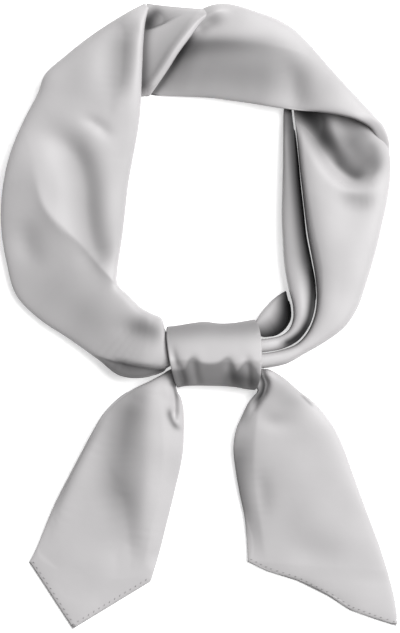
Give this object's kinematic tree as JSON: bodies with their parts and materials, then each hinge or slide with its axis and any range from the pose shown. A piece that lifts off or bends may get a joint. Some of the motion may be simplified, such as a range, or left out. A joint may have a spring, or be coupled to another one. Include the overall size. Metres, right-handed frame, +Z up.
{
  "type": "square scarf",
  "caption": "Square satin neck scarf, folded on the bias and closed into a loop by one wrapped knot, with two hemmed ends, laid flat.",
  "frame": {"origin": "on the surface that the scarf lies on, under the middle of the knot", "axes": "+X across the neck loop, to the right as seen from above, +Y from the ends towards the back of the neck, +Z up from the surface"},
  "size_m": [0.2208, 0.3485, 0.025],
  "materials": {
    "satin": "silver grey satin weave with a soft sheen",
    "rolled_hem": "rolled satin edge with small stitches"
  },
  "bodies": {
    "root": {"left_neck_band": "satin", "twist_panel": "satin", "top_neck_band": "satin", "right_neck_band": "satin", "right_inner_pleat": "satin", "knot_wrap": "satin", "knot_side_fold": "satin", "left_tail": "satin", "right_tail": "satin", "left_tail_hem": "rolled_hem", "right_tail_hem": "rolled_hem"}
  },
  "joints": []
}
